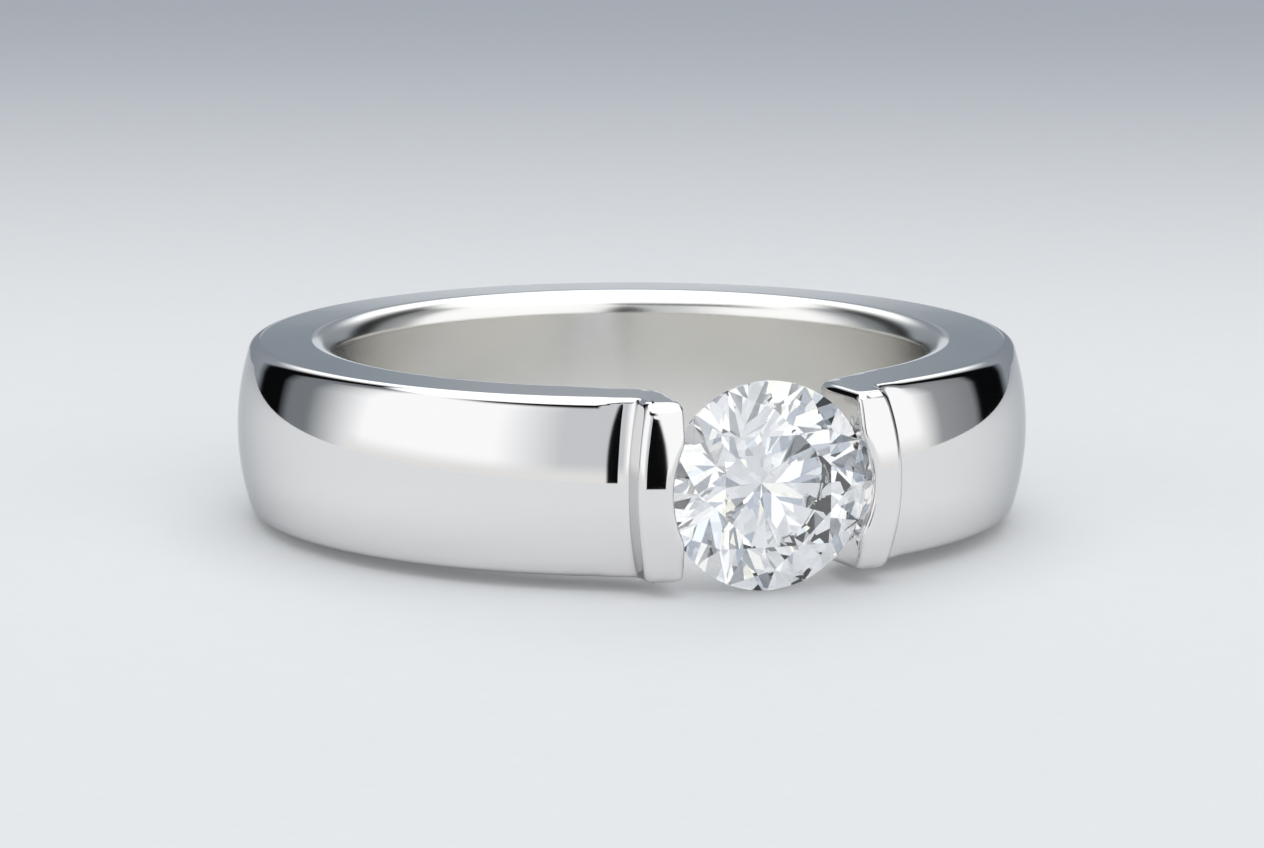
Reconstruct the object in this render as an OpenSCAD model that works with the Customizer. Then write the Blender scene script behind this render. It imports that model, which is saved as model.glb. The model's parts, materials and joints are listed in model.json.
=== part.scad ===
/* [Band] */
// Diameter of the finger hole
finger_d = 16.5; // [14:0.1:22]
// Width of the band, along the finger
band_w = 4.8; // [3.5:0.1:6.5]
// Thickness of the band at its back, opposite the stone
band_t = 2.6; // [1.8:0.1:3.4]
// How far the outside of the band domes out between its two rims
dome_rise = 0.35; // [0.2:0.01:0.8]
// Rounding of the band's outer rims
rim_round = 0.19; // [0.08:0.01:0.3]
// Comfort rounding at both ends of the finger hole
comfort_r = 0.65; // [0.3:0.05:1.2]

/* [End bars] */
// Width of each end bar at the middle of its height, seen from the front
bar_w = 1.21; // [0.9:0.01:1.8]
// How far the end bars stand proud of the band
bar_rise = 0.84; // [0.5:0.01:1.2]
// Rounding of the end bars' rims
bar_round = 0.28; // [0.15:0.01:0.4]
// Rounding of the end bars' outer corners, seen along the finger
bar_corner = 0.22; // [0.1:0.01:0.35]
// Radius of the bow of the end bars' outer sides, seen from the front
bow_r = 8.5; // [6:0.1:14]
// Radius of the cove between each end bar and the band
cove_r = 0.2; // [0.12:0.01:0.35]

/* [Stone] */
// Diameter of the stone at its girdle
stone_d = 5.6; // [4.8:0.05:6.6]
// Width of the table, as a share of the stone's diameter
table_share = 0.57; // [0.5:0.01:0.65]
// Height of the crown, as a share of the stone's diameter
crown_share = 0.15; // [0.11:0.005:0.17]
// Depth of the pavilion, as a share of the stone's diameter
pavilion_share = 0.43; // [0.4:0.005:0.45]
// Thickness of the girdle, as a share of the stone's diameter
girdle_share = 0.026; // [0.018:0.001:0.04]

/* [Seat] */
// How far the girdle reaches into each end bar
seat_bite = 0.3; // [0.15:0.01:0.5]
// How far the middle of the girdle lies below the round that the end bars' faces follow
seat_depth = 1.08; // [0.8:0.01:1.4]
// Slant of the end faces, which close in towards the finger hole
gap_lean = 7; // [0:0.5:10]
// Diameter of the seat's opening where the end bars' faces end
scoop_d = 5.66; // [5.56:0.01:5.9]
// How far the seat's lips reach back over the girdle
seat_lip = 0.06; // [0.03:0.01:0.12]
// Clearance between the stone and its seat
seat_gap = 0.03; // [0.02:0.01:0.06]
// Height of the stone's point above the wall of the finger hole
point_lift = 0.14; // [0.1:0.01:0.6]

/* [Hidden] */
$fn = 128;

// Reach of cutting shapes past the surfaces that they cut
past = 1;
half_w = band_w / 2;
hole_r = finger_d / 2;

// The stone's heights are measured from the middle of its girdle, outwards
stone_r = stone_d / 2;
table_r = stone_r * table_share;
girdle_h = stone_d * girdle_share / 2;
crown_h = stone_d * crown_share;
pavilion_h = stone_d * pavilion_share;
crown_slope = crown_h / (stone_r - table_r);
pavilion_slope = pavilion_h / stone_r;

// Main facets round the stone, the angle that each spans, and half of it, which each half facet spans
mains = 8;
main_angle = 360 / mains;
half_angle = main_angle / 2;
// The stars reach half way to the girdle, and the lower halves most of the way to the point
star_reach = 0.5;
lower_half_reach = 0.77;
// Straight steps that make up the girdle along each half facet
girdle_steps = 4;

// Distances from the axis of the finger hole, towards the stone
girdle_reach = hole_r + point_lift + pavilion_h + girdle_h;
table_reach = girdle_reach + girdle_h + crown_h;
bar_reach = girdle_reach + seat_depth;
front_reach = bar_reach - bar_rise;
back_reach = hole_r + band_t;

// The outside is round about an axis nearer the stone, so the band thickens towards it
outer_r = (front_reach + back_reach) / 2;
axis_shift = (front_reach - back_reach) / 2;
dome_chord = half_w - rim_round;
dome_r = (dome_chord * dome_chord + dome_rise * dome_rise) / (2 * dome_rise);

// Half the gap that the stone fills, where the end bars' faces end, and the outer sides of the end bars
gap_half = stone_r - seat_bite;
front_edge = sqrt(bar_reach * bar_reach - gap_half * gap_half);
bar_side = gap_half + bar_w;

// The axis that each end bar's outer side is turned about, so that it bows in towards the rims
bow_tilt = atan(dome_r / bow_r);
bow_reach = 1 / sqrt(1 / (bow_r * bow_r) + 1 / (dome_r * dome_r));
bow_half_angle = 60;
bar_side_y = -sqrt(bar_reach * bar_reach - bar_side * bar_side);
bow_axis = [bar_side - bow_reach * sin(bow_tilt), bar_side_y + bow_reach * cos(bow_tilt)];

// Centre of each end bar's rounded outer corner, and where the rounding runs into the front
corner_at = [bar_side - bar_corner, -sqrt(pow(bar_reach - bar_corner, 2) - pow(bar_side - bar_corner, 2))];
corner_front = corner_at * bar_reach / (bar_reach - bar_corner);

// The cove bites a little into the band, so the two meet at a line
cove_bite = 0.015;
cove_x = bar_side + cove_r;
cove_to_axis = outer_r + cove_r - cove_bite;
cove_y = -axis_shift - sqrt(cove_to_axis * cove_to_axis - cove_x * cove_x);

// At rest on its side the ring stands on the stone's edge and on the back of its lower rim
rim_back = rim_circle_x(outer_r, rim_round) - axis_shift;
stone_foot = girdle_reach - girdle_h;
rest_tilt = atan(max(0, stone_r - half_w) / (rim_back + stone_foot));
rest_lift = half_w * cos(rest_tilt) + rim_back * sin(rest_tilt);
rest_shift = (max(table_reach, front_edge) - back_reach) / 2;

// Centre of a rim's rounding, so that it runs smoothly into both the flat side and the dome
function rim_circle_x(reach, round_r) =
    reach - dome_r + sqrt(pow(dome_r - round_r, 2) - pow(half_w - round_r, 2));

// Points on the stone: place on a circle, by angle, radius and height
function polar(angle, radius, height) = [radius * cos(angle), radius * sin(angle), height];

// Height of a main crown facet and of a main pavilion facet, off their own middle line by an angle
function crown_height(radius, off) = girdle_h + crown_h - (radius * cos(off) - table_r) * crown_slope;
function pavilion_depth(radius, off) = girdle_h + (stone_r - radius * cos(off)) * pavilion_slope;

// Height where a half facet, through its tip and two points of the girdle, meets the round girdle
function scallop(tip, edge_a, edge_b, angle) =
    let (
        n = cross(edge_a - tip, edge_b - tip),
        p = polar(angle, stone_r, 0)
    )
    tip[2] - (n[0] * (p[0] - tip[0]) + n[1] * (p[1] - tip[1])) / n[2];

// Moves everything from the ring's own frame, with its hole upright, to the way it lies at rest
module at_rest() {
    translate([0, rest_shift, rest_lift]) rotate([-rest_tilt, 0, 0]) children();
}

// Half section of a domed disc with rounded rims
module disc_section(reach, round_r) {
    rim_x = rim_circle_x(reach, round_r);
    rim_z = half_w - round_r;
    smooth_z = rim_z * dome_r / (dome_r - round_r);
    intersection() {
        translate([reach - dome_r, 0]) circle(r = dome_r);
        translate([0, -smooth_z]) square([reach, 2 * smooth_z]);
    }
    translate([0, -half_w]) square([rim_x, band_w]);
    for (side = [-1, 1]) translate([rim_x, side * rim_z]) circle(r = round_r);
}

module domed_disc(reach, round_r) {
    translate([0, -axis_shift, 0]) rotate_extrude() disc_section(reach, round_r);
}

// Half section of the finger hole's flared end
module comfort_end() {
    rounding_at = [hole_r + comfort_r, half_w - comfort_r];
    difference() {
        translate([0, rounding_at[1]]) square([rounding_at[0], comfort_r + past]);
        translate(rounding_at) circle(r = comfort_r);
    }
}

// Half section of the finger hole
module hole_section() {
    translate([0, -half_w - past]) square([hole_r, band_w + 2 * past]);
    comfort_end();
    mirror([0, 1]) comfort_end();
}

module finger_hole() {
    rotate_extrude() hole_section();
}

// Plan of the right end bar and its cove, at the middle of the band's width
module bar_plan() {
    front_y = -bar_reach - past;
    difference() {
        polygon([
            [0, front_y],
            [corner_front[0], front_y],
            corner_front,
            corner_at,
            [bar_side, corner_at[1]],
            [bar_side, cove_y],
            [cove_x, cove_y],
            [cove_x, -hole_r],
            [0, -hole_r]
        ]);
        translate([cove_x, cove_y]) circle(r = cove_r);
    }
    translate(corner_at) circle(r = bar_corner);
}

// The right end bar: its plan turned about the bow axis, within a disc that stands proud of the band
module end_bar() {
    intersection() {
        domed_disc(outer_r + bar_rise, bar_round);
        translate([bow_axis[0], bow_axis[1], 0])
            rotate([0, 0, bow_tilt - 90])
                rotate([-90, 0, 0])
                    rotate_extrude(angle = 2 * bow_half_angle, start = -bow_half_angle)
                        rotate(90 - bow_tilt)
                            translate(-bow_axis)
                                bar_plan();
    }
}

// The gap that the stone fills, open from the finger hole to the front and widest there
module stone_gap() {
    front_y = -bar_reach - past;
    front_x = gap_half + (bar_reach + past - front_edge) * tan(gap_lean);
    inner_x = gap_half - front_edge * tan(gap_lean);
    translate([0, 0, -half_w - past])
        linear_extrude(height = band_w + 2 * past)
            polygon([[-front_x, front_y], [front_x, front_y], [inner_x, 0], [-inner_x, 0]]);
}

// The seat: an opening that narrows to a lip over the girdle, and a groove that follows the stone
module seat() {
    crown_angle = atan(crown_slope);
    pavilion_angle = atan(pavilion_slope);
    groove_r = stone_r + seat_gap;
    lip_r = stone_r - seat_lip;
    scoop_r = scoop_d / 2;
    lip_h = girdle_h + seat_lip * crown_slope + seat_gap / cos(crown_angle);
    groove_top = girdle_h - seat_gap * crown_slope + seat_gap / cos(crown_angle);
    groove_foot = -girdle_h + seat_gap * pavilion_slope - seat_gap / cos(pavilion_angle);
    point_h = -girdle_h - pavilion_h - seat_gap / cos(pavilion_angle);
    rotate_extrude() polygon([
        [0, seat_depth + past],
        [scoop_r, seat_depth + past],
        [scoop_r, front_edge - girdle_reach],
        [lip_r, lip_h],
        [groove_r, groove_top],
        [groove_r, groove_foot],
        [0, point_h]
    ]);
}

// Places a shape made about its own upright axis at the girdle, facing out of the gap
module at_girdle() {
    translate([0, -girdle_reach, 0]) rotate([90, 0, 0]) children();
}

// Band and end bars: one piece of white metal, open at the stone
module band() {
    color([0.83, 0.84, 0.86])
    at_rest() difference() {
        union() {
            domed_disc(outer_r, rim_round);
            end_bar();
            mirror([1, 0, 0]) end_bar();
        }
        finger_hole();
        stone_gap();
        at_girdle() seat();
    }
}

// Round brilliant: table, stars, kites, upper halves, scalloped girdle, lower halves and mains
module brilliant() {
    star_middle = table_r * cos(half_angle);
    star_r = star_middle + star_reach * (stone_r - star_middle);
    star_h = crown_height(star_r, half_angle);
    tip_r = stone_r * (1 - lower_half_reach);
    tip_h = -pavilion_depth(tip_r, half_angle);
    last = mains - 1;
    around = 2 * mains * girdle_steps;
    step = 360 / around;
    // Girdle steps beside each star, and beside each tip
    stretch = 2 * girdle_steps;
    table = [for (i = [0:last]) polar(main_angle * i, table_r, girdle_h + crown_h)];
    stars = [for (i = [0:last]) polar(main_angle * i + half_angle, star_r, star_h)];
    tips = [for (i = [0:last]) polar(main_angle * i + half_angle, tip_r, tip_h)];
    upper = [for (k = [0:around - 1]) let (
        half = floor(k / girdle_steps),
        tip = stars[floor(k / stretch)],
        edge_a = polar(half_angle * half, stone_r, girdle_h),
        edge_b = polar(half_angle * (half + 1), stone_r, girdle_h)
    ) polar(k * step, stone_r, scallop(tip, edge_a, edge_b, k * step))];
    lower = [for (k = [0:around - 1]) let (
        half = floor(k / girdle_steps),
        tip = tips[floor(k / stretch)],
        edge_a = polar(half_angle * half, stone_r, -girdle_h),
        edge_b = polar(half_angle * (half + 1), stone_r, -girdle_h)
    ) polar(k * step, stone_r, scallop(tip, edge_a, edge_b, k * step))];
    points = concat(table, stars, upper, lower, tips, [[0, 0, -girdle_h - pavilion_h]]);
    // Where each ring of points starts in the list
    star_at = mains;
    up_at = star_at + mains;
    low_at = up_at + around;
    tip_at = low_at + around;
    point_at = tip_at + mains;
    faces = concat(
        [[for (i = [last:-1:0]) i]],
        [for (i = [0:last]) [i, (i + 1) % mains, star_at + i]],
        [for (i = [0:last]) [i, star_at + i, up_at + stretch * i, star_at + (i + last) % mains]],
        [for (k = [0:around - 1]) let (next = (k + 1) % around)
            [star_at + floor(k / stretch), up_at + next, up_at + k]],
        [for (k = [0:around - 1]) let (next = (k + 1) % around)
            [up_at + k, up_at + next, low_at + next, low_at + k]],
        [for (k = [0:around - 1]) let (next = (k + 1) % around)
            [low_at + k, low_at + next, tip_at + floor(k / stretch)]],
        [for (i = [0:last]) [point_at, tip_at + (i + last) % mains, low_at + stretch * i, tip_at + i]]
    );
    polyhedron(points = points, faces = faces, convexity = 2);
}

// The stone, turned so that flats of its table face the end bars
module stone() {
    color([0.9, 0.94, 0.98, 0.6])
    at_rest() at_girdle() rotate(half_angle) brilliant();
}

band();
stone();
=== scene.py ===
"""Looks of a tension set ring: the band with its end bars, the round brilliant, a pale studio and a camera.

Lengths are in millimetres, in the ring's own frame with the finger hole's axis as Z, unless a name ends
in _m. Angles in fields are in degrees.
"""

import json
import logging
from dataclasses import dataclass
from enum import Enum
from math import asin, atan2, cos, pi, radians, sin, sqrt, tan, tau

import bmesh
import bpy
import numpy as np
from bpy.types import ID, Material, Node, NodeSocket, NodeTree, Object
from mathutils import Matrix, Vector


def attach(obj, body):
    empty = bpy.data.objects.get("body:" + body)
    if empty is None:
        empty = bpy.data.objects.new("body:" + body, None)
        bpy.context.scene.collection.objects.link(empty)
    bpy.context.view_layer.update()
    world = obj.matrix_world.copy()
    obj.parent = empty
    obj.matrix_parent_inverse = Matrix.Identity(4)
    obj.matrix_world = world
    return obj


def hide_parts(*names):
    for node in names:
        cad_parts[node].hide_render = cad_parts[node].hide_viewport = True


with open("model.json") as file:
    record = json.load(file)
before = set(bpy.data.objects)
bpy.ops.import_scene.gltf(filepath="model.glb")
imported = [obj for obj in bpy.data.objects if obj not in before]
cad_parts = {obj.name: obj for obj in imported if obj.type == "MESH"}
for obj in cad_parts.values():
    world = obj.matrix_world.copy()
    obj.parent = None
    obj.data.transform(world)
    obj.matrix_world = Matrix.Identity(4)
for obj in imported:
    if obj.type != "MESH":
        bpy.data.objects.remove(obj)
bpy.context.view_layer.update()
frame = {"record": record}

LOG = logging.getLogger("tension_set_ring")
MM = 0.001
Array = np.ndarray
# Azimuths, colours and strengths of what stands round the ring
Shades = tuple[tuple[float, str, float], ...]
# Places on a colour ramp, with linear colours
Stops = list[tuple[float, tuple[float, ...]]]
# Distance from the finger hole's axis to the middle of the stone's girdle
GIRDLE_REACH = 10.8708


def linear(hex_colour: str) -> tuple[float, float, float, float]:
    """Turns an sRGB hex colour into linear light.

    Args:
        hex_colour: Six hex digits, such as "c8ccd0".

    Returns:
        Linear red, green, blue and an alpha of one.
    """
    parts = [int(hex_colour[i:i + 2], 16) / 255 for i in (0, 2, 4)]
    r, g, b = (c / 12.92 if c <= 0.04045 else ((c + 0.055) / 1.055) ** 2.4 for c in parts)
    return r, g, b, 1.0


def add_node(tree: NodeTree, kind: str, settings: dict | None = None, inputs: dict | None = None) -> Node:
    """Adds a node, sets its properties, and sets or links its inputs.

    Args:
        tree: The node tree to add to.
        kind: The node's type name.
        settings: Property names and values.
        inputs: Socket names or numbers, each with a value or with an output socket to link from.

    Returns:
        The new node.
    """
    node = tree.nodes.new(kind)
    for name, value in (settings or {}).items():
        setattr(node, name, value)
    for name, value in (inputs or {}).items():
        if isinstance(value, NodeSocket):
            tree.links.new(value, node.inputs[name])
        else:
            node.inputs[name].default_value = value
    return node


def add_noise(tree: NodeTree, place: NodeSocket, size: float, detail: float) -> Node:
    """Adds a noise texture with patches of that size, in the units of place."""
    return add_node(tree, "ShaderNodeTexNoise", None, {"Vector": place, "Scale": 1 / size, "Detail": detail})


def calculate(tree: NodeTree, operation: str, *values: NodeSocket | float) -> NodeSocket:
    """Adds a calculation with numbers."""
    return add_node(tree, "ShaderNodeMath", {"operation": operation}, dict(enumerate(values))).outputs[0]


def measure(tree: NodeTree, operation: str, *vectors: NodeSocket | tuple) -> NodeSocket:
    """Adds a calculation with vectors that gives a number."""
    node = add_node(tree, "ShaderNodeVectorMath", {"operation": operation}, dict(enumerate(vectors)))
    return node.outputs["Value"]


def add_rise(tree: NodeTree, value: NodeSocket, low: float, high: float) -> NodeSocket:
    """Adds a smooth rise from 0 at low to 1 at high, which may lie below low."""
    return add_node(tree, "ShaderNodeMapRange", {"interpolation_type": "SMOOTHSTEP"}, {
        "Value": value, "From Min": low, "From Max": high}).outputs[0]


def add_blend(tree: NodeTree, share: NodeSocket | float, first: object, second: object,
              kind: str = "MIX") -> NodeSocket:
    """Adds a blend of two colours, in which the second one shows by a share from 0 to 1."""
    # The colours have their own sockets beside those for numbers and vectors
    return add_node(tree, "ShaderNodeMix", {"data_type": "RGBA", "blend_type": kind}, {
        0: share, 6: first, 7: second}).outputs[2]


def add_ramp(tree: NodeTree, share: NodeSocket, stops: Stops, interpolation: str = "LINEAR") -> NodeSocket:
    """Adds a colour ramp.

    Args:
        tree: The node tree to add to.
        share: Where on the ramp to look, 0 to 1.
        stops: Places and linear colours, from 0 upwards.
        interpolation: How the ramp runs from one to the next.

    Returns:
        The ramp's colour.
    """
    ramp = add_node(tree, "ShaderNodeValToRGB", None, {0: share})
    ramp.color_ramp.interpolation = interpolation
    for number, (at, colour) in enumerate(stops):
        # A new ramp already has two places
        point = ramp.color_ramp.elements[number] if number < 2 else ramp.color_ramp.elements.new(at)
        point.position = at
        point.color = colour
    return ramp.outputs[0]


def add_surface(tree: NodeTree, inputs: dict) -> None:
    """Adds a Principled shader with those inputs, and links it to the material's output."""
    shader = add_node(tree, "ShaderNodeBsdfPrincipled", None, inputs)
    add_node(tree, "ShaderNodeOutputMaterial", None, {"Surface": shader.outputs[0]})


def new_material(name: str) -> tuple[Material, NodeTree, NodeSocket]:
    """Adds a material that holds nothing yet but its Object coordinates.

    Args:
        name: The finish's name.

    Returns:
        The material, its node tree and the tree's Object coordinates.
    """
    material = bpy.data.materials.new(name)
    material.use_nodes = True
    tree = material.node_tree
    tree.nodes.clear()
    return material, tree, add_node(tree, "ShaderNodeTexCoord").outputs["Object"]


def put(name: str, data: ID) -> Object:
    """Puts a mesh or a camera into the scene as an object at the origin."""
    thing = bpy.data.objects.new(name, data)
    bpy.context.scene.collection.objects.link(thing)
    return thing


def quads(numbers: Array) -> list[list[int]]:
    """Four sided faces between the neighbours in a grid of point numbers."""
    corners = (numbers[:-1, :-1], numbers[:-1, 1:], numbers[1:, 1:], numbers[1:, :-1])
    return np.stack(corners, -1).reshape(-1, 4).tolist()


def ease(steps: Array, share: float) -> Array:
    """Steps from 0 to 1, made finer at their start by a share of their square."""
    return (1 - share) * steps + share * steps ** 2


def smooth_step(low: float, high: float, value: Array | float) -> Array | float:
    """Rises smoothly from 0 at low to 1 at high."""
    s = np.clip((value - low) / (high - low), 0, 1)
    return s * s * (3 - 2 * s)


def soft_corner(a: Array, b: Array, reach: Array | float) -> Array:
    """Larger of two distances, blended where they are closer than reach."""
    return np.maximum(a, b) + np.maximum(reach - np.abs(a - b), 0) ** 2 / (4 * reach)


def round_corner(a: Array, b: Array, radius: Array | float) -> Array:
    """Larger of two distances, with a round of that radius where both surfaces meet."""
    inside = (a > -radius) & (b > -radius)
    return np.where(inside, np.hypot(a + radius, b + radius) - radius, np.maximum(a, b))


class Side(Enum):
    """The two halves of the band, either side of the stone, and the sign of their X."""

    RIGHT = 1
    LEFT = -1


@dataclass(frozen=True)
class RestPose:
    """How the ring lies on the floor: its hole's centre and axis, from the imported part's mount."""

    centre_m: tuple[float, float, float]
    axis: tuple[float, float, float]
    hole_r: float

    @classmethod
    def from_record(cls, record: dict) -> "RestPose":
        """Reads the pose from the finger hole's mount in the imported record."""
        mount = next(m for m in record["mounts"] if m["name"] == "finger_hole")
        return cls(tuple(mount["pos_m"]), tuple(mount["axis"]), mount["dims"]["r_mm"])

    def matrix(self) -> Matrix:
        """Matrix from the ring's own frame, in millimetres, to the row frame, in metres."""
        tilt = Matrix.Rotation(-atan2(self.axis[1], self.axis[2]), 4, "X")
        return Matrix.Translation(self.centre_m) @ tilt @ Matrix.Scale(MM, 4)


@dataclass(frozen=True)
class PolishedWhiteGold:
    """Rhodium plated 18 carat white gold, mirror polished, with faint polishing waves.

    It reflects less at a flat angle. The finger hole's wall has a softer and slightly warmer satin polish.
    """

    colour: str = "f0eeed"
    inner_colour: str = "f4f2ee"
    edge_colour: str = "d3d5d7"
    roughness: float = 0.035
    inner_roughness: float = 0.2
    spread: tuple[float, float] = (0.6, 1.4)
    inner_spread: tuple[float, float] = (0.8, 1.3)
    wave_mm: float = 1.6
    wave_detail: float = 2.0
    # Distances from the hole's axis between which the wall's polish turns into the outside's
    hole_edge: tuple[float, float] = (8.5, 8.9)

    def build(self, pose: RestPose) -> Material:
        """Builds the material.

        Args:
            pose: The ring's place, which tells the finger hole's wall from the outside.

        Returns:
            The material.
        """
        material, tree, place = new_material("polished_white_gold")
        own = add_node(tree, "ShaderNodeMapping", {"vector_type": "TEXTURE"}, {
            "Vector": place, "Location": pose.centre_m, "Rotation": pose.matrix().to_euler(),
            "Scale": (MM, MM, MM)}).outputs[0]
        flat = add_node(tree, "ShaderNodeVectorMath", {"operation": "MULTIPLY"}, {0: own, 1: (1, 1, 0)})
        outside = add_rise(tree, measure(tree, "LENGTH", flat.outputs[0]), *self.hole_edge)
        # Polishing leaves waves of about a millimetre and a half, which vary the roughness
        waves = add_noise(tree, own, self.wave_mm, self.wave_detail)
        inner, outer = (
            add_node(tree, "ShaderNodeMapRange", None, {
                "Value": waves.outputs[0], "To Min": middle * spread[0], "To Max": middle * spread[1]})
            for middle, spread in ((self.inner_roughness, self.inner_spread), (self.roughness, self.spread)))
        roughness = add_node(tree, "ShaderNodeMix", None, {
            0: outside, 2: inner.outputs[0], 3: outer.outputs[0]})
        add_surface(tree, {
            "Base Color": add_blend(tree, outside, linear(self.inner_colour), linear(self.colour)),
            "Metallic": 1.0, "Roughness": roughness.outputs[0], "Specular Tint": linear(self.edge_colour)})
        return material


@dataclass(frozen=True)
class CutDiamond:
    """Near colourless diamond with polished facets: clear, strongly refracting, faintly cool in patches."""

    colour: str = "ffffff"
    cool_colour: str = "fafbff"
    ior: float = 2.417
    patch_mm: float = 1.2
    patch_detail: float = 1.0

    def build(self) -> Material:
        """Builds the material.

        Returns:
            The material.
        """
        material, tree, place = new_material("cut_diamond")
        # Growth in the crystal leaves faint tinted patches
        patches = add_noise(tree, place, self.patch_mm * MM, self.patch_detail)
        tint = add_blend(tree, patches.outputs[0], linear(self.colour), linear(self.cool_colour))
        add_surface(tree, {
            "Base Color": tint, "Metallic": 0.0, "Roughness": 0.0, "IOR": self.ior,
            "Transmission Weight": 1.0})
        return material


@dataclass(frozen=True)
class PaperWithPaintedFalloff:
    """Matt pale studio paper, with painted shade that darkens it to blue grey towards its far end, and a
    faint painted glow that lifts its shadows.
    """

    front_colour: str = "e3e4e5"
    # Painted shade: the far colour stands in for light falling off towards the paper's far end
    painted_far_shade_colour: str = "a0a4ab"
    grain_mm: float = 0.9
    grain_detail: float = 3.0
    grain_share: float = 0.03
    roughness: float = 0.9
    ior: float = 1.3
    # Painted light: the paper glows faintly in its own colour, though it is no lamp, which lifts the shadows
    # on it
    painted_fill_glow: float = 0.1

    def build(self, heading: float, near_m: float, far_m: float) -> Material:
        """Builds the material.

        Args:
            heading: Angle of the camera's direction about Z, in radians from +Y towards +X.
            near_m: Distance along it where the painted shade starts to darken the paper.
            far_m: Distance where the painted shade is darkest.

        Returns:
            The material.
        """
        material, tree, place = new_material("paper_with_painted_falloff")
        # Painted shade: the paper darkens along the camera's direction, from near_m to far_m, in place of
        # light falling off
        along = measure(tree, "DOT_PRODUCT", place, (sin(heading), cos(heading), 0))
        share = add_rise(tree, along, near_m, far_m)
        tone = add_blend(tree, share, linear(self.front_colour), linear(self.painted_far_shade_colour))
        grain = add_noise(tree, place, self.grain_mm * MM, self.grain_detail)
        grained = add_blend(tree, self.grain_share, tone, grain.outputs["Color"], "MULTIPLY")
        # Painted light: the emission lifts the paper's contact shadows and what the ring reflects of them
        add_surface(tree, {
            "Base Color": grained, "Roughness": self.roughness, "IOR": self.ior,
            "Emission Color": grained, "Emission Strength": self.painted_fill_glow})
        return material


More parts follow.
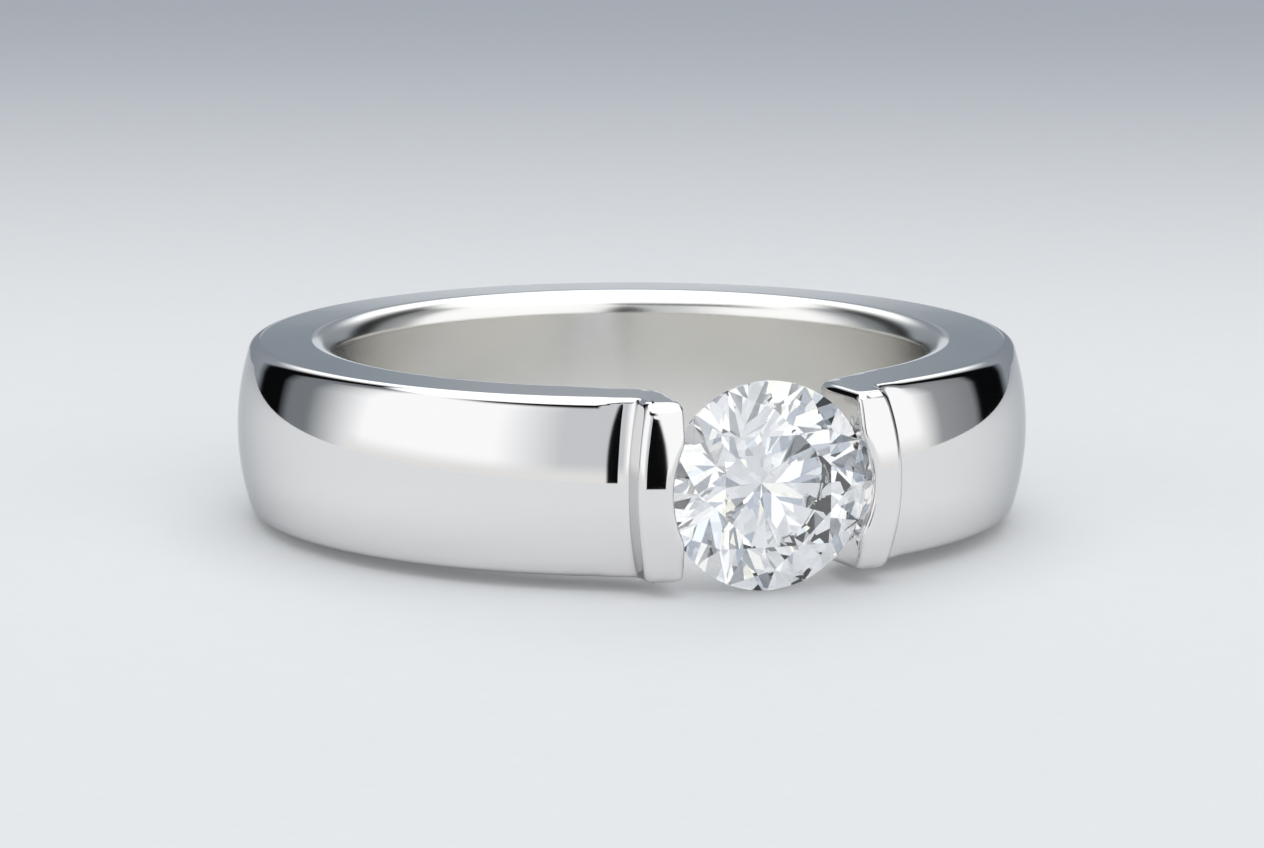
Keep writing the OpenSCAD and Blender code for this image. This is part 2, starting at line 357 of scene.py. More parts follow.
@dataclass
class Brilliant:
    """The round brilliant: an eighth of its facets, repeated round its axis by Geometry Nodes."""

    diameter: float = 5.6
    table_share: float = 0.57
    crown_share: float = 0.15
    pavilion_share: float = 0.43
    girdle_share: float = 0.026
    star_reach: float = 0.5
    lower_half_reach: float = 0.77
    mains: int = 8
    girdle_steps: int = 4
    girdle_reach: float = GIRDLE_REACH
    merge_mm: float = 0.002

    @property
    def radius(self) -> float:
        """Radius at the girdle."""
        return self.diameter / 2

    @property
    def girdle_h(self) -> float:
        """Height of the girdle's edges above and below its middle."""
        return self.diameter * self.girdle_share / 2

    @property
    def pavilion_h(self) -> float:
        """Depth of the point below the girdle's lower edge."""
        return self.diameter * self.pavilion_share

    def polar(self, angle: float, radius: float, height: float) -> Vector:
        """Point at an angle in degrees, a radius and a height."""
        a = radians(angle)
        return Vector((radius * cos(a), radius * sin(a), height))

    def scallop(self, tip: Vector, edge_a: Vector, edge_b: Vector, angle: float) -> Vector:
        """Point of the round girdle on a half facet.

        Args:
            tip: The half facet's tip.
            edge_a: Its first point on the girdle.
            edge_b: Its second point on the girdle.
            angle: The wanted angle, in degrees.

        Returns:
            The point where the facet's plane meets the girdle at that angle.
        """
        n = (edge_a - tip).cross(edge_b - tip)
        p = self.polar(angle, self.radius, 0)
        p.z = tip.z - (n.x * (p.x - tip.x) + n.y * (p.y - tip.y)) / n.z
        return p

    def eighth(self) -> Object:
        """Builds one of each facet, with the kite and the main in the middle.

        Returns:
            The object, with its mesh in millimetres and the table facing +Z.
        """
        step, half = 360 / self.mains, 180 / self.mains
        flat = cos(radians(half))
        table_r = self.radius * self.table_share
        crown_h = self.diameter * self.crown_share
        crown_slope = crown_h / (self.radius - table_r)
        pavilion_slope = self.pavilion_h / self.radius
        top = self.girdle_h + crown_h
        middle = table_r * flat
        star_r = middle + self.star_reach * (self.radius - middle)
        star_h = top - (star_r * flat - table_r) * crown_slope
        tip_r = self.radius * (1 - self.lower_half_reach)
        tip_h = -self.girdle_h - (self.radius - tip_r * flat) * pavilion_slope
        table = [self.polar(a, table_r, top) for a in (0, step)]
        stars = {s: self.polar(s * half, star_r, star_h) for s in (-1, 1)}
        tips = {s: self.polar(s * half, tip_r, tip_h) for s in (-1, 1)}
        point = Vector((0, 0, -self.girdle_h - self.pavilion_h))
        centre = Vector((0, 0, top))
        facets = [[centre, table[0], table[1]], [table[0], stars[1], table[1]]]
        middle_up, middle_low = (self.polar(0, self.radius, s * self.girdle_h) for s in (1, -1))
        facets.append([table[0], stars[-1], middle_up, stars[1]])
        facets.append([point, tips[1], middle_low, tips[-1]])
        for s in (-1, 1):
            rims = []
            for tip, sign in ((stars[s], 1), (tips[s], -1)):
                a = self.polar(0, self.radius, sign * self.girdle_h)
                b = self.polar(s * half, self.radius, sign * self.girdle_h)
                rim = [self.scallop(tip, a, b, s * half * k / self.girdle_steps)
                       for k in range(self.girdle_steps + 1)]
                facets.append([tip] + (rim if sign * s < 0 else rim[::-1]))
                rims.append(rim)
            for k in range(self.girdle_steps):
                quad = [rims[0][k], rims[1][k], rims[1][k + 1], rims[0][k + 1]]
                facets.append(quad if s > 0 else quad[::-1])
        points = [p for facet in facets for p in facet]
        faces, at = [], 0
        for facet in facets:
            faces.append(list(range(at, at + len(facet))))
            at += len(facet)
        mesh = bpy.data.meshes.new("stone_eighth")
        mesh.from_pydata(points, [], faces)
        return put("stone_eighth", mesh)

    def tree(self) -> NodeTree:
        """Builds the Geometry Nodes tree that repeats the eighth round the axis.

        Returns:
            The tree, with the number of repeats, the merge distance and the finish as inputs.
        """
        tree = bpy.data.node_groups.new("facets_round_axis", "GeometryNodeTree")
        face = tree.interface
        for name, kind in (("Geometry", "Geometry"), ("Repeats", "Int"), ("Merge distance", "Float"),
                           ("Finish", "Material")):
            face.new_socket(name, in_out="INPUT", socket_type="NodeSocket" + kind)
        face.new_socket("Geometry", in_out="OUTPUT", socket_type="NodeSocketGeometry")
        given = add_node(tree, "NodeGroupInput").outputs
        spots = add_node(tree, "GeometryNodePoints", None, {"Count": given["Repeats"]})
        number = add_node(tree, "GeometryNodeInputIndex")
        step = calculate(tree, "DIVIDE", tau, given["Repeats"])
        turn = calculate(tree, "MULTIPLY", number.outputs[0], step)
        angles = add_node(tree, "ShaderNodeCombineXYZ", None, {"Z": turn})
        copies = add_node(tree, "GeometryNodeInstanceOnPoints", None, {
            "Points": spots.outputs[0], "Instance": given["Geometry"], "Rotation": angles.outputs[0]})
        real = add_node(tree, "GeometryNodeRealizeInstances", None, {"Geometry": copies.outputs[0]})
        merged = add_node(tree, "GeometryNodeMergeByDistance", None, {
            "Geometry": real.outputs[0], "Distance": given["Merge distance"]})
        dressed = add_node(tree, "GeometryNodeSetMaterial", None, {
            "Geometry": merged.outputs[0], "Material": given["Finish"]})
        add_node(tree, "NodeGroupOutput", None, {0: dressed.outputs[0]})
        return tree

    def build(self, pose: RestPose, finish: Material) -> Object:
        """Builds the stone in its place.

        Args:
            pose: How the ring lies.
            finish: The stone's material.

        Returns:
            The stone, its table as one facet.
        """
        eighth = self.eighth()
        tree = self.tree()
        modifier = eighth.modifiers.new("facets", "NODES")
        modifier.node_group = tree
        values = {"Repeats": self.mains, "Merge distance": self.merge_mm, "Finish": finish}
        for item in tree.interface.items_tree:
            if item.in_out == "INPUT" and item.name in values:
                modifier[item.identifier] = values[item.name]
        graph = bpy.context.evaluated_depsgraph_get()
        mesh = bpy.data.meshes.new_from_object(eighth.evaluated_get(graph))
        mesh.name = "brilliant"
        bpy.data.objects.remove(eighth)
        shape = bmesh.new()
        shape.from_mesh(mesh)
        # The table's triangles become one facet
        top = max(v.co.z for v in shape.verts)
        table = [f for f in shape.faces if min(v.co.z for v in f.verts) > top - self.merge_mm]
        bmesh.ops.dissolve_faces(shape, faces=table, use_verts=True)
        # The table faces out of the gap, with flats of its octagon towards the end bars
        outwards = Matrix.Translation((0, -self.girdle_reach, 0)) @ Matrix.Rotation(pi / 2, 4, "X")
        turned = Matrix.Rotation(pi / self.mains, 4, "Z")
        bmesh.ops.transform(shape, matrix=pose.matrix() @ outwards @ turned, verts=shape.verts)
        bmesh.ops.recalc_face_normals(shape, faces=shape.faces)
        shape.to_mesh(mesh)
        shape.free()
        return put("brilliant", mesh)


@dataclass
class Band:
    """The band with its two end bars, open at the stone, as one smooth skin of four sided faces.

    The metal is first a field: a rule for how far a point lies outside it. The skin's points are guessed near
    the surface and then moved along the field's slope until they lie on it.
    """

    width: float = 4.8
    outer_r: float = 10.9804
    axis_shift: float = 0.1304
    dome_r: float = 7.1523
    rim_round: float = 0.24
    hole_r: float = 8.25
    comfort_r: float = 0.65
    bar_outer_r: float = 11.8204
    bar_side: float = 3.71
    bar_back: float = 6.0
    bow_r: float = 8.5
    bar_round: float = 0.28
    side_round: float = 0.13
    corner_r: float = 0.18
    corner_growth: float = 0.01
    cove_r: float = 0.1
    cove_growth: float = 0.04
    growth_levels: tuple[float, float] = (0.8, 2.3)
    gap_half: float = 2.5
    gap_front: float = 11.6864
    gap_back: float = 1.0
    gap_lean: float = 7.0
    gap_round: float = 0.22
    front_soft: float = 0.2
    inner_soft: float = 1.8
    girdle_reach: float = GIRDLE_REACH
    # Seat profile: heights from the middle of the girdle, outwards, and radii
    seat_heights: tuple[float, ...] = (-2.5204, -0.0866, 0.0885, 0.1513, 0.8156)
    seat_radii: tuple[float, ...] = (0.0, 2.83, 2.83, 2.74, 2.83)
    seat_soft: float = 0.08
    # Where one rim's rounding turns into the next, by the distance outside the bar's face, from the middle of
    # the gap, into the gap and into the hole. The last two are less the distance past the other surfaces.
    # Behind shank_front the band is all shank
    face_blend: tuple[float, float] = (-0.3, -0.03)
    shank_blend: tuple[float, float] = (3.75, 4.4)
    shank_front: float = 5.0
    gap_blend: tuple[float, float] = (-0.35, 0.0)
    hole_blend: tuple[float, float] = (-1.1, 0.9)
    # The guess: steps and shares between the skin's points
    face_shares: tuple[float, ...] = (0, 0.015, 0.04, 0.075, 0.12, 0.2, 0.32, 0.48, 0.64, 0.8, 0.91)
    flat_shares: tuple[float, ...] = (
        0.06, 0.14, 0.25, 0.37, 0.49, 0.6, 0.7, 0.78, 0.84, 0.875, 0.89, 0.925, 0.955, 0.97, 0.985)
    round_points: int = 10
    side_steps: int = 7
    shank_steps: int = 96
    shank_ease: float = 0.25
    wall_steps: int = 8
    wall_ease: float = 0.65
    wall_beside_bar: float = 24.5
    edge_steps: int = 6
    rim_steps: int = 4
    face_tries: int = 6
    wall_tries: int = 8
    # The end face's first columns, which follow the hole's flare less and less, and its last ones, which
    # follow the front: how many columns from the front, and how closely
    flare_columns: int = 9
    front_columns: tuple[tuple[int, float], ...] = ((7, 0), (5, 0.32), (3, 0.68), (1, 0.96), (0, 1))
    border_power: int = 3
    # How points settle
    probe: float = 2e-4
    rounds: int = 12
    least_slope: float = 0.2
    stride: float = 0.9

    @property
    def half(self) -> float:
        """Half the width."""
        return self.width / 2

    def dome(self, x: Array, y: Array, z: Array, reach: float) -> Array:
        """Distance outside the domed outer surface of that reach."""
        out = np.hypot(x, y + self.axis_shift)
        return np.hypot(out - (reach - self.dome_r), z) - self.dome_r

    def gap_edge(self, front: Array) -> Array:
        """Half the gap at a distance in front of the hole's axis."""
        return self.gap_half - (self.gap_front - front) * tan(radians(self.gap_lean))

    def seat_edge(self, front: Array | float) -> Array | float:
        """Radius of the stone's seat at a distance in front of the hole's axis."""
        return np.interp(front - self.girdle_reach, self.seat_heights, self.seat_radii)

    def gap_side(self, front: float, z: float) -> float:
        """Half the gap at a point, or half the seat where that is wider."""
        seat = sqrt(max(self.seat_edge(front) ** 2 - z * z, 0))
        return max(float(self.gap_edge(front)), seat)

    def side_rounds(self, z: Array | float) -> tuple[Array | float, Array | float]:
        """Radii of the bar's corner and of its cove at levels above the middle, wider at the rims."""
        growth = smooth_step(*self.growth_levels, z)
        return self.corner_r + self.corner_growth * growth, self.cove_r + self.cove_growth * growth

    def field(self, p: Array) -> Array:
        """Distance outside the metal, about right near its surface.

        Args:
            p: Points, one in each row.

        Returns:
            The distance of each, negative in the metal.
        """
        x, y, z = np.abs(p[:, 0]), p[:, 1], np.abs(p[:, 2])
        front = -y
        hole = self.hole_r - np.hypot(x, y)
        band = self.dome(x, y, z, self.outer_r)
        face = self.dome(x, y, z, self.bar_outer_r)
        side = np.hypot(np.maximum(x - (self.bar_side - self.bow_r), 0), z) - self.bow_r
        corner_r, cove_r = self.side_rounds(z)
        bar = np.maximum(round_corner(face, side, corner_r), self.bar_back - front)
        solid = -round_corner(-band, -bar, cove_r)
        plane = (self.gap_edge(front) - x) * cos(radians(self.gap_lean))
        seat = self.seat_edge(front) - np.hypot(x, z)
        gap = np.minimum(soft_corner(plane, seat, self.seat_soft), front - self.gap_back)
        wall = soft_corner(hole, gap, self.inner_soft)
        outside = soft_corner(solid, gap, self.front_soft)
        plan = np.maximum(wall, outside)
        # Rounding of the rims: wide at the finger hole, finer outside, finest at the gap and the bars' sides
        at_face = smooth_step(*self.face_blend, face)
        at_shank = smooth_step(*self.shank_blend, np.where(front > self.shank_front, x, self.outer_r))
        at_gap = smooth_step(*self.gap_blend, gap - solid)
        at_hole = smooth_step(*self.hole_blend, hole - np.maximum(gap, solid))
        edge = self.side_round + (self.bar_round - self.side_round) * at_face
        rims = ((self.rim_round, at_shank), (self.gap_round, at_gap), (self.comfort_r, at_hole))
        for radius, share in rims:
            edge = edge + (radius - edge) * share
        return round_corner(plan, z - self.half, edge)

    def slope(self, p: Array) -> Array:
        """Gradient of the field at points, one in each row."""
        shifts = np.eye(3) * self.probe
        return np.stack([(self.field(p + s) - self.field(p - s)) / (2 * self.probe) for s in shifts], 1)

    def settle(self, p: Array) -> Array:
        """Moves points along the slope until they lie on the surface.

        Args:
            p: Points near the surface.

        Returns:
            The settled points.
        """
        for _ in range(self.rounds):
            g = self.slope(p)
            p = p - g * (self.field(p) / np.maximum((g * g).sum(1), self.least_slope))[:, None] * self.stride
        return p

    def outline(self, z: float) -> tuple[Array, Array]:
        """Outer outline of the right half at a level: front face, corner, side, cove and shank.

        Args:
            z: The level.

        Returns:
            Points as (x, distance in front of the outer axis), and outward normals.
        """
        sag = self.dome_r - sqrt(self.dome_r ** 2 - z * z)
        face_r, band_r = self.bar_outer_r - sag, self.outer_r - sag
        side_x = self.bar_side - self.bow_r + sqrt(self.bow_r ** 2 - z * z)
        corner_r, cove_r = self.side_rounds(abs(z))
        corner_x = side_x - corner_r
        corner_y = sqrt((face_r - corner_r) ** 2 - corner_x ** 2)
        corner_from = atan2(corner_x, corner_y)
        cove_x = side_x + cove_r
        cove_y = sqrt((band_r + cove_r) ** 2 - cove_x ** 2)
        cove_to = atan2(cove_x, cove_y)
        start = self.front_start(z, face_r)
        even = np.linspace(0, 1, self.round_points)
        face_x = start + np.array(self.face_shares) * (face_r * sin(corner_from) - start)
        side_y = np.linspace(corner_y, cove_y, self.side_steps + 1)[1:-1]
        shank = ease(np.linspace(0, 1, self.shank_steps + 1)[1:], self.shank_ease)

        def bend(x: float, y: float, radius: float, angles: Array) -> Array:
            """Points of a round about x and y, each with its normal; a hollow one's radius is negative."""
            normals = np.column_stack((np.sin(angles), np.cos(angles)))
            return np.column_stack((normals * radius + (x, y), normals))

        rows = np.concatenate((
            bend(0, 0, face_r, np.arcsin(face_x / face_r)),
            bend(corner_x, corner_y, corner_r, corner_from + even * (pi / 2 - corner_from)),
            [(side_x, y, 1, 0) for y in side_y],
            bend(cove_x, cove_y, -cove_r, pi / 2 + even * (cove_to - pi / 2)),
            bend(0, 0, band_r, cove_to + shank * (pi - cove_to))))
        return rows[:, :2], rows[:, 2:]

    def front_start(self, z: float, face_r: float) -> float:
        """Where a level's front face ends at the gap or at the seat's opening.

        Args:
            z: The level.
            face_r: Radius of the face there.

        Returns:
            The distance from the middle of the gap.
        """
        x = self.gap_half
        for _ in range(self.face_tries):
            x = self.gap_side(sqrt(face_r ** 2 - x * x) + self.axis_shift, z)
        return x

    def wall(self, out: float, stations: int, shared: int) -> Array:
        """Points round the finger hole's wall or its flare, from the gap to the back.

        Args:
            out: Radius of the wall there.
            stations: How many points.
            shared: How many of them lie beside the end bar.

        Returns:
            Points as (x, distance in front of the hole's axis).
        """
        x = self.gap_half
        for _ in range(self.wall_tries):
            x = float(self.gap_edge(sqrt(out ** 2 - x * x)))
        first, last = asin(x / out), radians(self.wall_beside_bar)
        beside = ease(np.linspace(0, 1, shared), self.wall_ease)
        behind = ease(np.linspace(0, 1, stations - shared + 1)[1:], self.shank_ease)
        angles = np.concatenate((first + (last - first) * beside, last + (pi - last) * behind))
        return out * np.column_stack((np.sin(angles), np.cos(angles)))

    def half_skin(self) -> tuple[Array, int, int]:
        """First guess of the right half's skin.

        Returns:
            Loops of points from the gap to the back, and how many steps a loop takes along the finger and
            from the finger hole to the front.
        """
        quarter = pi / 4
        straight = self.half - self.comfort_r
        rim = self.bar_round
        low = asin((self.half - rim) / (self.dome_r - rim))
        middle = low + (pi / 2 - low) / 2
        smooth_z = self.half - rim + rim * sin(low)

        def flare(b: float) -> tuple[float, float]:
            """Level and inset of the hole's flare at an angle."""
            return straight + self.comfort_r * sin(b), self.comfort_r * (1 - cos(b))

        def rounding(b: float) -> tuple[float, float]:
            """Level and inset of the rim's rounding at an angle."""
            return self.half - rim + rim * sin(b), rim * (cos(low) - cos(b))

        def mirrored(upper: list[tuple[float, float]]) -> list[tuple[float, float]]:
            """Levels and insets of the upper half, with the lower half's before them."""
            return [(-z, inset) for z, inset in upper[:0:-1]] + upper

        def nearest(z: float) -> float:
            """Level whose outline serves another level, rounded so that it can be looked up."""
            return round(min(abs(z), smooth_z), 6)

        # Along the finger: half of each flare and the wall inside, half of each rim's rounding and the
        # dome outside
        inner_levels = mirrored([(z, 0.0) for z in np.linspace(0, straight, self.wall_steps + 1)]
                                + [flare(b) for b in np.linspace(0, quarter, self.edge_steps + 1)[1:]])
        rows = len(inner_levels) - 1
        dome_points = rows // 2 + 1 - self.rim_steps
        outer_levels = mirrored([(z, 0.0) for z in np.linspace(0, smooth_z, dome_points)]
                                + [rounding(b) for b in np.linspace(low, middle, self.rim_steps + 1)[1:]])
        lines = {}
        for z, _ in outer_levels:
            level = nearest(z)
            lines[level] = self.outline(level)
        stations = len(lines[level][0])
        shared = stations - self.shank_steps

        def outer(z: float, inset: float) -> Array:
            """Station points of the outer side at a level, moved inwards by inset."""
            points, normals = lines[nearest(z)]
            moved = points - normals * inset
            return np.column_stack((moved[:, 0], -moved[:, 1] - self.axis_shift, np.full(stations, z)))

        def inner(z: float, inset: float) -> Array:
            """Station points of the inner side at a level, moved into the metal by inset."""
            points = self.wall(self.hole_r + inset, stations, shared)
            return np.column_stack((points[:, 0], -points[:, 1], np.full(stations, z)))

        inside = np.stack([inner(*level) for level in inner_levels], 1)
        outside = np.stack([outer(*level) for level in outer_levels], 1)
        # The flat: the rest of the flare, the plane, and the rest of the rim's rounding
        flare_end = [inner(*flare(b)) for b in np.linspace(quarter, pi / 2, self.edge_steps + 1)[1:]]
        rim_end = [outer(*rounding(b)) for b in np.linspace(pi / 2, middle, self.edge_steps + 1)[:-1]]
        start, end = flare_end[-1], rim_end[0]
        plane = [start + (end - start) * s for s in self.flat_shares]
        top = np.stack(flare_end + plane + rim_end, 1)
        bottom = top * np.array([1, 1, -1])
        loops = np.concatenate((inside, top, outside[:, ::-1], bottom[:, ::-1]), 1)
        return loops, rows, top.shape[1] + 1

    def border(self, loop: Array, rows: int, columns: int) -> Array:
        """Lays a loop round the border of a grid.

        Args:
            loop: Points, or their numbers, in the loop's order.
            rows: Steps along the finger.
            columns: Steps from the finger hole to the front.

        Returns:
            The grid, with nothing but zeros inside its border.
        """
        grid = np.zeros((rows + 1, columns + 1) + loop.shape[1:], loop.dtype)
        grid[:, 0] = loop[:rows + 1]
        grid[rows, 1:columns] = loop[rows + 1:rows + columns]
        grid[::-1, columns] = loop[rows + columns:2 * rows + columns + 1]
        grid[0, columns - 1:0:-1] = loop[2 * rows + columns + 1:]
        return grid

    def end_face(self, loop: Array, rows: int, columns: int) -> Array:
        """First guess of the end face inside the first loop.

        Args:
            loop: The skin's first loop.
            rows: Steps along the finger.
            columns: Steps from the finger hole to the front.

        Returns:
            A grid of points that has the loop as its border.
        """
        grid = self.border(loop, rows, columns)
        # Columns stay straight where the seat is, and bulge only near the finger hole and the front
        across = np.arange(columns + 1)
        at_hole = np.interp(across, [0, self.flare_columns], [1, 0])
        at_front = np.interp(across, [columns - back for back, _ in self.front_columns],
                             [follow for _, follow in self.front_columns])
        share = (grid[rows, :, 1] - grid[rows, 0, 1]) / (grid[rows, columns, 1] - grid[rows, 0, 1])
        for i in range(1, rows):
            to_top = i / rows
            for j in range(1, columns):
                y = grid[rows, j, 1] + at_hole[j] * (grid[i, 0, 1] - grid[rows, 0, 1])
                y += at_front[j] * (grid[i, columns, 1] - grid[rows, columns, 1])
                z = (1 - share[j]) * grid[i, 0, 2] + share[j] * grid[i, columns, 2]
                for r, w in ((0, 1 - to_top), (rows, to_top)):
                    straight = (1 - share[j]) * grid[r, 0, 2] + share[j] * grid[r, columns, 2]
                    z += w ** self.border_power * (grid[r, j, 2] - straight)
                grid[i, j] = (self.gap_side(-y, z), y, z)
        return grid

    def skin(self) -> tuple[Array, list[list[int]]]:
        """First guess of the whole skin: both halves and an end face on each.

        Returns:
            The points and the faces.
        """
        loops, rows, columns = self.half_skin()
        loops[-1, :, 0] = 0
        whole = np.concatenate((loops, loops[-2::-1] * np.array([-1, 1, 1])))
        numbers = np.arange(whole.size // 3).reshape(whole.shape[:2])
        points = [whole.reshape(-1, 3)]
        faces = quads(np.column_stack((numbers, numbers[:, 0])))
        count = numbers.size
        for side in Side:
            end = 0 if side is Side.RIGHT else -1
            flip = np.array([side.value, 1, 1])
            inside = self.end_face(whole[end] * flip, rows, columns)[1:-1, 1:-1] * flip
            index = self.border(numbers[end], rows, columns)
            index[1:-1, 1:-1] = count + np.arange(inside.size // 3).reshape(inside.shape[:2])
            count += inside.size // 3
            points.append(inside.reshape(-1, 3))
            faces += quads(index)
        return np.concatenate(points), faces

    def build(self, pose: RestPose, finish: Material) -> Object:
        """Builds the band in its place.

        Args:
            pose: How the ring lies.
            finish: The band's material.

        Returns:
            The band, with normals taken from the surface that its points lie on.
        """
        points, faces = self.skin()
        settled = self.settle(points)
        left = np.abs(self.field(settled)).max()
        LOG.info("band: %d points, farthest from the surface %.5f mm", len(settled), left)
        matrix = pose.matrix()
        mesh = bpy.data.meshes.new("white_gold_band")
        mesh.from_pydata([matrix @ Vector(p) for p in settled], [], faces)
        shape = bmesh.new()
        shape.from_mesh(mesh)
        bmesh.ops.recalc_face_normals(shape, faces=shape.faces)
        shape.to_mesh(mesh)
        shape.free()
        mesh.shade_smooth()
        turned = matrix.to_3x3().normalized()
        normals = [(turned @ Vector(n)).normalized() for n in self.slope(settled)]
        mesh.normals_split_custom_set_from_vertices(normals)
        mesh.materials.append(finish)
        return put("white_gold_band", mesh)


@dataclass(frozen=True)
class Tier:
    """Shades of the room all round the ring, from one elevation upwards.

    Each shade is an azimuth in degrees, a colour and a strength, and they blend straight into each other.
    Azimuth is 0 towards the camera and grows to the camera's right; elevation is above the floor.
    """

    elevation: float
    softness: float
    shades: Shades

    def stops(self) -> Stops:
        """Shades as places on a colour ramp that runs once round, with linear colours."""
        return [((turn + 180) / 360, tuple(c * strength for c in linear(colour)[:3]) + (1.0,))
                for turn, colour, strength in self.shades]

    def lay(self, tree: NodeTree, share: NodeSocket, rise: NodeSocket, light: NodeSocket) -> NodeSocket:
        """Lays the tier over the light below it, at a share of the way round and an elevation in radians."""
        low, high = (radians(self.elevation + s * self.softness / 2) for s in (-1, 1))
        return add_blend(tree, add_rise(tree, rise, low, high), light, add_ramp(tree, share, self.stops()))


# What stands round the ring, from behind by the camera's left to behind again: azimuth, colour and strength
BLACK, WALL_GREY, BOX_WHITE, PANEL_WHITE = "0b0c0d", "8b9198", "fbfdff", "fafdff"
WALL, BOX, LOW_PANEL, PANEL = 1.38, 1.12, 1.7, 1.3
PALE_BEHIND_LEFT: Shades = ((-176.5, "dde1e5", WALL), (-174, WALL_GREY, WALL), (-145, WALL_GREY, WALL))
PALE_BEHIND_RIGHT: Shades = ((145, WALL_GREY, WALL), (174, WALL_GREY, WALL), (176.5, "dde1e5", WALL))
GREY_BEHIND_LEFT: Shades = (
    (-178.9, "abafb4", WALL), (-177.5, "8c959d", WALL), (-172, WALL_GREY, WALL), (-145, WALL_GREY, WALL))
GREY_BEHIND_RIGHT: Shades = (
    (145, WALL_GREY, WALL), (172, WALL_GREY, WALL), (177, "8c959d", WALL), (178.5, "a6abb1", WALL))
PANEL_BEHIND_LEFT: Shades = ((-158, PANEL_WHITE, LOW_PANEL),)
PANEL_BEHIND_RIGHT: Shades = ((158, PANEL_WHITE, LOW_PANEL),)
LEFT_SLOT: Shades = (
    (-139, BLACK, 1), (-125, BLACK, 1), (-119, "797f84", 1), (-109, "797f84", 1), (-93, "e2e5e8", 1))
RIGHT_SLOT: Shades = ((101, "9a9da1", 1), (118.5, "85898c", 1), (122.5, BLACK, 1), (139, BLACK, 1))
BOX_FEET: Shades = ((-90, "ebecec", 1), (94, "ebecec", 1))
LEFT_BOX: Shades = ((-84, BOX_WHITE, BOX), (-40, BOX_WHITE, BOX), (-20, "ced2d6", 1), (-6, "ced2d6", 1))
LEFT_BOX_TOP: Shades = ((-84, BOX_WHITE, BOX), (-72, BOX_WHITE, BOX), (-52, BLACK, 1), (7, BLACK, 1))
RIGHT_BOX: Shades = ((8, BOX_WHITE, BOX), (91, BOX_WHITE, BOX))
SIDES: Shades = LEFT_SLOT + LEFT_BOX + RIGHT_BOX + RIGHT_SLOT


@dataclass(frozen=True)
class Opening:
    """The dark opening that the camera looks through: half an ellipse that stands on the floor.

    Its softness is the share of its size over which its edge fades.
    """

    azimuth: float = 1.3
    half_width: float = 8.7
    height: float = 38.0
    softness: float = 0.1
    colour: str = BLACK

    def lay(self, tree: NodeTree, turn: NodeSocket, rise: NodeSocket, light: NodeSocket) -> NodeSocket:
        """Lays the opening over the light.

        Args:
            tree: The world's node tree.
            turn: Azimuth, in radians.
            rise: Elevation, in radians.
            light: The light without the opening.

        Returns:
            The light with it.
        """
        left, right = (radians(self.azimuth + s * self.half_width) for s in (-1, 1))
        across = add_node(tree, "ShaderNodeMapRange", {"clamp": False}, {
            "Value": turn, "From Min": left, "From Max": right, "To Min": -1.0})
        up = add_node(tree, "ShaderNodeMapRange", None, {"Value": rise, "From Max": radians(self.height)})
        spot = add_node(tree, "ShaderNodeCombineXYZ", None, {"X": across.outputs[0], "Y": up.outputs[0]})
        inside = add_rise(tree, measure(tree, "LENGTH", spot.outputs[0]), 1.0, 1 - self.softness)
        return add_blend(tree, inside, light, linear(self.colour))


@dataclass(frozen=True)
class Sparkle:
    """Small lights and shades of the room, too fine for the metal to show, that the stone's facets pick up.

    The share says how far they hide the larger ones. Each shade begins at its place between 0 and 1.
    """

    share: float = 0.8
    size: float = 0.16
    strength: float = 1.33
    shades: tuple[tuple[float, str], ...] = (
        (0.0, "505a62"), (0.15, "ffffff"), (0.28, "8a96a5"), (0.41, "e3ecf2"), (0.55, "fdfef8"),
        (0.68, "6a747e"), (0.78, "f7f6e6"), (0.87, "23282c"), (0.94, "fdffff"))

    def lay(self, tree: NodeTree, where: NodeSocket, light: NodeSocket) -> NodeSocket:
        """Lays the sparkle over light that comes through the stone.

        Args:
            tree: The world's node tree.
            where: The direction looked at.
            light: The light without the sparkle.

        Returns:
            The light with it.
        """
        cells = add_node(tree, "ShaderNodeTexVoronoi", None, {"Vector": where, "Scale": 1 / self.size})
        parts = add_node(tree, "ShaderNodeSeparateColor", None, {0: cells.outputs["Color"]})
        stops = [(at, linear(shade)) for at, shade in self.shades]
        bright = add_node(tree, "ShaderNodeVectorMath", {"operation": "SCALE"}, {
            0: add_ramp(tree, parts.outputs[0], stops, "CONSTANT"), "Scale": self.strength})
        through = add_node(tree, "ShaderNodeLightPath").outputs["Is Transmission Ray"]
        return add_blend(tree, calculate(tree, "MULTIPLY", through, self.share), light, bright.outputs[0])


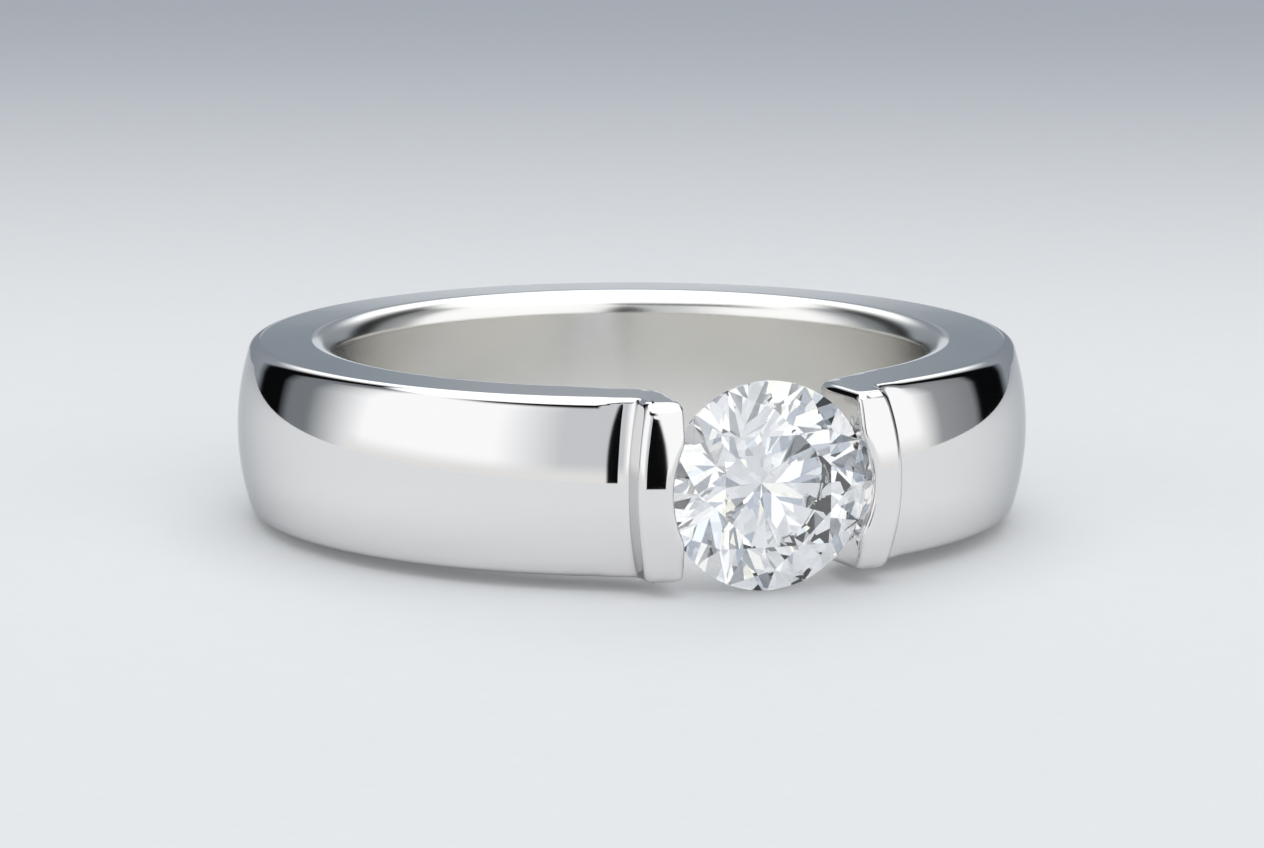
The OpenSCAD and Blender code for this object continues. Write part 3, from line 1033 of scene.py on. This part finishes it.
@dataclass
class Studio:
    """The floor, the light round the ring and the camera."""

    azimuth: float = 19.3602
    elevation: float = 10.655
    roll: float = 0.4007
    aim_mm: tuple[float, float, float] = (0.0412, 0.4342, 2.5038)
    distance_mm: float = 180.0
    lens: float = 183.67
    sensor: float = 36.0
    clip_m: tuple[float, float] = (0.005, 10.0)
    disc_m: float = 0.07
    disc_back_m: float = 0.03
    sheet_m: float = 1.5
    floor_sides: int = 96
    # Distances along the camera's direction where the painted shade on the paper starts and is darkest
    painted_falloff_m: tuple[float, float] = (0.01, 0.126)
    strength: float = 1.0
    turns: int = 32
    metal_turns: int = 6
    paper_turns: int = 2
    opening: Opening = Opening()
    sparkle: Sparkle = Sparkle()
    # Each tier lies over the one before
    tiers: tuple[Tier, ...] = (
        # Feet of the bright soft boxes
        Tier(-90, 0, PALE_BEHIND_LEFT + LEFT_SLOT + BOX_FEET + RIGHT_SLOT + PALE_BEHIND_RIGHT),
        # Soft boxes, dark slots beside them, and the pale far end of the floor behind
        Tier(-0.5, 7, PALE_BEHIND_LEFT + SIDES + PALE_BEHIND_RIGHT),
        # The same with the grey wall behind, lighter in its middle
        Tier(7.5, 0.3, GREY_BEHIND_LEFT + SIDES + GREY_BEHIND_RIGHT),
        # The overhead panel reaches low behind
        Tier(25, 10, PANEL_BEHIND_LEFT + SIDES + PANEL_BEHIND_RIGHT),
        # In front, a dark gap between the left soft box and the panel
        Tier(39.5, 7, (PANEL_BEHIND_LEFT + LEFT_SLOT + LEFT_BOX_TOP + RIGHT_BOX + RIGHT_SLOT
                       + PANEL_BEHIND_RIGHT)),
        # Overhead panel
        Tier(50, 4, ((-180, PANEL_WHITE, PANEL), (180, PANEL_WHITE, PANEL))))

    def look(self) -> tuple[Vector, Vector, Vector]:
        """Works out the camera's directions.

        Returns:
            Where the camera looks, its right and its up.
        """
        a, e, r = (radians(v) for v in (self.azimuth, self.elevation, self.roll))
        ahead = Vector((sin(a) * cos(e), cos(a) * cos(e), -sin(e)))
        right = Vector((cos(a), -sin(a), 0))
        up = right.cross(ahead)
        return ahead, right * cos(r) + up * sin(r), up * cos(r) - right * sin(r)

    def build_camera(self) -> None:
        """Builds the camera and makes it the scene's."""
        ahead, right, up = self.look()
        data = bpy.data.cameras.new("camera")
        data.lens = self.lens
        data.sensor_width = self.sensor
        data.clip_start, data.clip_end = self.clip_m
        camera = put("camera", data)
        place = (Vector(self.aim_mm) - ahead * self.distance_mm) * MM
        axes = Matrix((right, up, -ahead)).transposed().to_4x4()
        camera.matrix_world = Matrix.Translation(place) @ axes
        bpy.context.scene.camera = camera

    def build_floor(self) -> list[Object]:
        """Builds the paper floor: a disc that the ring lies on, and the rest of the sheet round it.

        Returns:
            The two parts. Only the disc shows in the metal, as if the lights stood close by.
        """
        a = radians(self.azimuth)
        paper = PaperWithPaintedFalloff().build(a, *self.painted_falloff_m)
        turns = [tau * i / self.floor_sides for i in range(self.floor_sides)]
        behind = Vector((sin(a), cos(a), 0)) * self.disc_back_m
        rims = [[behind + Vector((cos(b), sin(b), 0)) * r for b in turns]
                for r in (self.disc_m, self.sheet_m)]
        around = range(self.floor_sides)
        follow = [(i + 1) % self.floor_sides for i in around]
        sheet = [(i, self.floor_sides + i, self.floor_sides + follow[i], follow[i]) for i in around]
        parts = []
        for name, points, faces in (("paper_disc", rims[0], [tuple(around)]),
                                    ("paper_sheet", rims[0] + rims[1], sheet)):
            mesh = bpy.data.meshes.new(name)
            mesh.from_pydata(points, [], faces)
            mesh.materials.append(paper)
            parts.append(put(name, mesh))
        parts[1].visible_glossy = False
        return parts

    def build_light(self) -> None:
        """Builds the light round the ring, as the scene's world."""
        world = bpy.data.worlds.new("soft_studio")
        world.use_nodes = True
        tree = world.node_tree
        tree.nodes.clear()
        where = add_node(tree, "ShaderNodeTexCoord").outputs["Generated"]
        a = radians(self.azimuth)
        ahead, aside = (
            measure(tree, "DOT_PRODUCT", where, axis)
            for axis in ((-sin(a), -cos(a), 0), (cos(a), -sin(a), 0)))
        above = add_node(tree, "ShaderNodeSeparateXYZ", None, {0: where}).outputs["Z"]
        turn = calculate(tree, "ARCTAN2", aside, ahead)
        rise = calculate(tree, "ARCSINE", above)
        share = add_node(tree, "ShaderNodeMapRange", None, {
            "Value": turn, "From Min": -pi, "From Max": pi}).outputs[0]
        light = add_ramp(tree, share, self.tiers[0].stops())
        for tier in self.tiers[1:]:
            light = tier.lay(tree, share, rise, light)
        light = self.opening.lay(tree, turn, rise, light)
        light = self.sparkle.lay(tree, where, light)
        shine = add_node(tree, "ShaderNodeBackground", None, {"Color": light, "Strength": self.strength})
        add_node(tree, "ShaderNodeOutputWorld", None, {"Surface": shine.outputs[0]})
        bpy.context.scene.world = world

    def set_light_paths(self) -> None:
        """Lets light turn often enough inside the stone, and shows it without a film curve."""
        scene = bpy.context.scene
        scene.view_settings.view_transform = "Standard"
        scene.cycles.max_bounces = self.turns
        scene.cycles.transmission_bounces = self.turns
        scene.cycles.glossy_bounces = self.metal_turns
        scene.cycles.diffuse_bounces = self.paper_turns


def main() -> None:
    """Builds the ring and its studio, in order, and reports each piece."""
    logging.basicConfig(level=logging.INFO, format="%(name)s: %(message)s")
    pose = RestPose.from_record(frame["record"])
    gold = PolishedWhiteGold().build(pose)
    diamond = CutDiamond().build()

    band = Band(hole_r=pose.hole_r).build(pose, gold)
    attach(band, "root")
    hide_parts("band")
    LOG.info("band: %d faces", len(band.data.polygons))

    stone = Brilliant().build(pose, diamond)
    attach(stone, "root")
    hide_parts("stone")
    LOG.info("stone: %d facets", len(stone.data.polygons))

    studio = Studio()
    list(studio.build_floor())
    studio.build_light()
    studio.set_light_paths()
    studio.build_camera()
    LOG.info("studio: floor, light and camera")


if __name__ == "__main__":
    main()
